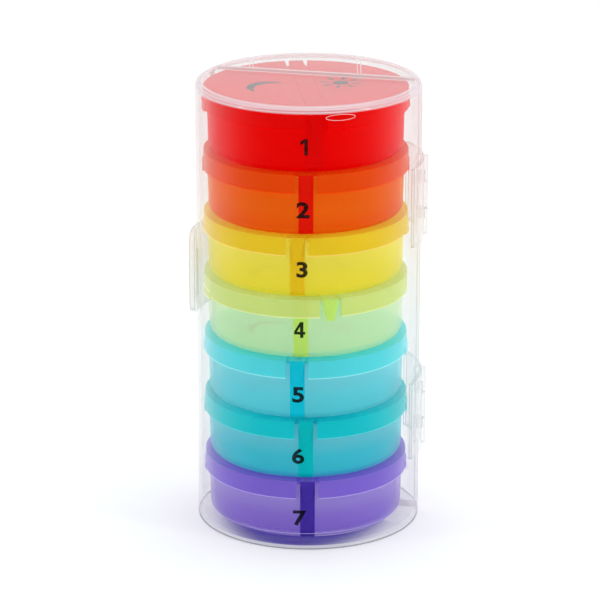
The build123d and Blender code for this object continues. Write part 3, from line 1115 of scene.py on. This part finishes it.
def moon_shape():
    """Quads of the crescent, from one tip to the other."""
    tip = math.acos((MOON_R ** 2 + BITE_SHIFT ** 2 - BITE_R ** 2) / (2 * MOON_R * BITE_SHIFT))
    rims = []
    for k in range(MOON_STEPS + 1):
        off_axis = tip + (2 * math.pi - 2 * tip) * k / MOON_STEPS
        towards = BITE_SHIFT * math.cos(off_axis)
        inner = towards + math.sqrt(BITE_R ** 2 - BITE_SHIFT ** 2 + towards ** 2)
        turn = BITE_TURN + off_axis
        rims.append([on_circle(r, turn) for r in (MOON_R, min(inner, MOON_R - TIP_WIDTH))])
    return [(a[0], a[1], b[1], b[0]) for a, b in zip(rims, rims[1:])]


def sun_shape():
    """The sun's disc and its eight rays."""
    shapes = [[on_circle(SUN_R, 2 * math.pi * k / SUN_STEPS) for k in range(SUN_STEPS)]]
    for k in range(RAYS):
        turn = math.radians(360 / RAYS * k + RAY_TURN)
        c, s = math.cos(turn), math.sin(turn)
        shapes.append([(x * c - y * s, x * s + y * c) for x, y in RAY])
    return shapes


print("moon quads:", len(moon_shape()), "sun shapes:", len(sun_shape()))

# %% Lay the signs on the lids
def lid_sign(colour, title, shapes, middle):
    """One sign on a box's lid, placed in the lid's own turned axes."""
    turn = math.radians(LID_TURN[colour])
    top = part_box(f"sun_flap_{colour}")[1].z + INK_RISE
    points, faces = [], []
    for shape in shapes:
        faces.append(tuple(range(len(points), len(points) + len(shape))))
        for x, y in shape:
            points.append((*on_box((x + middle[0]) * MM, (y + middle[1]) * MM, turn), top))
    mesh = bpy.data.meshes.new(title)
    mesh.from_pydata(points, [], faces)
    return add_piece(f"{title}_{colour}", mesh, f"box_{colour}", INK)


for colour in COLOURS:
    lid_sign(colour, "moon", moon_shape(), MOON_MIDDLE)
    lid_sign(colour, "sun", sun_shape(), SUN_MIDDLE)
print("signs on", len(COLOURS), "lids")

# %% [markdown]
# ## Painted colour in the clear floor
# The lowest box stands on the clear floor of the case. Its colour is painted into the floor in front of
# it, as a painted reflection of the box in the clear floor and its painted tinted shadow, so the front of
# the foot looks purple, and it fades to grey at the sides. A thin film inside the floor does this: it is
# tinted near the box and clear further out, by its distance from a point a little in front of the box's
# middle. It rides on the box, because the colour leaves with the box.

# %% Mix the finish of the painted film
FILM_CENTRE = (1.0 * MM, -6.0 * MM, 1.1 * MM)
FILM_OVAL = (1.3, 1.0, 1.0)
FADE_FROM, FADE_TO = 22.5 * MM, 36.0 * MM
# The tint of the painted reflection and shadow, and the clear end of its fade.
PAINTED_TINT = (0.12, 0.08, 0.50)
FILM_CLEAR = (0.95, 0.95, 0.97)


def painted_floor_tint_finish():
    """See-through film whose tint, a painted reflection and shadow of the box, fades with distance from the
    box.
    """
    made, tree, out = new_tree("painted_floor_colour")
    where = tree.nodes.new("ShaderNodeTexCoord")
    oval = tree.nodes.new("ShaderNodeMapping")
    oval.inputs["Location"].default_value = [-c * s for c, s in zip(FILM_CENTRE, FILM_OVAL)]
    oval.inputs["Scale"].default_value = FILM_OVAL
    tree.links.new(where.outputs["Object"], oval.inputs["Vector"])
    far = tree.nodes.new("ShaderNodeVectorMath")
    far.operation = "LENGTH"
    tree.links.new(oval.outputs["Vector"], far.inputs[0])
    fading = tree.nodes.new("ShaderNodeMapRange")
    fading.interpolation_type = "SMOOTHSTEP"
    fading.inputs["From Min"].default_value = FADE_FROM
    fading.inputs["From Max"].default_value = FADE_TO
    tree.links.new(far.outputs["Value"], fading.inputs["Value"])
    tint = two_colours(tree, fading.outputs["Result"], PAINTED_TINT, FILM_CLEAR)
    through = tree.nodes.new("ShaderNodeBsdfTransparent")
    tree.links.new(tint, through.inputs["Color"])
    tree.links.new(through.outputs["BSDF"], out.inputs["Surface"])
    return made


print("the film fades from", FADE_FROM, "to", FADE_TO, "m")

# %% Lay the film in the floor
FILM_R = 32.2 * MM
FILM_R_IN = 25.0 * MM
FILM_Z = 1.1 * MM
FILM_STEPS = 64
FILM_HALF_SPAN = math.radians(75)

film_points = []
for k in range(FILM_STEPS + 1):
    turn = -math.pi / 2 + FILM_HALF_SPAN * (2 * k / FILM_STEPS - 1)
    film_points += [(*on_circle(r, turn), FILM_Z) for r in (FILM_R_IN, FILM_R)]
film_faces = [(2 * k, 2 * k + 1, 2 * k + 3, 2 * k + 2) for k in range(FILM_STEPS)]
film_mesh = bpy.data.meshes.new("painted_floor_tint")
film_mesh.from_pydata(film_points, [], film_faces)
# The film is painted colour: the box's reflection and tinted shadow in the clear floor.
add_piece("painted_floor_tint", film_mesh, "box_purple", painted_floor_tint_finish())
print("film radius:", round(FILM_R * 1000, 1), "mm")

# %% [markdown]
# ## Gate mark
# Just under the top edge the real case has a small raised oval, where the plastic entered the mould.
# It could be a bump in the wall's material, but a bump is lost when the shape is used elsewhere. So it
# is a thin closed ring that follows the wall, as a sweep of a tiny round section.

# %% Raise the gate mark
GATE_ANGLE = 29.9
GATE_Z = 130.2 * MM
GATE_HALF_WIDTH, GATE_HALF_HEIGHT = 4.3 * MM, 0.85 * MM
GATE_THICKNESS = 0.07 * MM


def oval_ring(angle, height, half_width, half_height, thickness):
    """A closed ring on the case's wall, swept round an oval."""
    around, section = 72, 8
    mesh = bpy.data.meshes.new("ring")
    points, faces = [], []
    for i in range(around):
        a = 2 * math.pi * i / around
        x, z = half_width * math.cos(a), half_height * math.sin(a)
        out_x, out_z = math.cos(a) / half_width, math.sin(a) / half_height
        length = math.hypot(out_x, out_z)
        out_x, out_z = out_x / length, out_z / length
        for j in range(section):
            b = 2 * math.pi * j / section
            radius = CASE_R + thickness * math.sin(b)
            outwards = thickness * math.cos(b)
            turn = math.radians(angle - 90) + (x + out_x * outwards) / CASE_R
            points.append((*on_circle(radius, turn), height + z + out_z * outwards))
            faces.append((
                i * section + j,
                i * section + (j + 1) % section,
                (i + 1) % around * section + (j + 1) % section,
                (i + 1) % around * section + j,
            ))
    mesh.from_pydata(points, [], faces)
    for face in mesh.polygons:
        face.use_smooth = True
    return mesh


gate_mesh = oval_ring(GATE_ANGLE, GATE_Z, GATE_HALF_WIDTH, GATE_HALF_HEIGHT, GATE_THICKNESS)
# The gate mark is real, but its finish glows a little, a painted highlight.
gate = add_piece("gate_mark", gate_mesh, "case", LINE)
print("gate mark:", [round(c, 4) for c in gate.data.vertices[0].co])

# %% [markdown]
# ## Check the size
# The looks may not change the object's size. The box of the CAD parts and the box of all that is
# shown are written side by side.

# %% Measure the box of all that is shown and finish
shown_box = [list(corner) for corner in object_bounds()]
growth = [round((b - a) * 1000, 2) for a, b in zip(cad_box[1], shown_box[1])]
print("grew by", growth, "mm at the high corner")
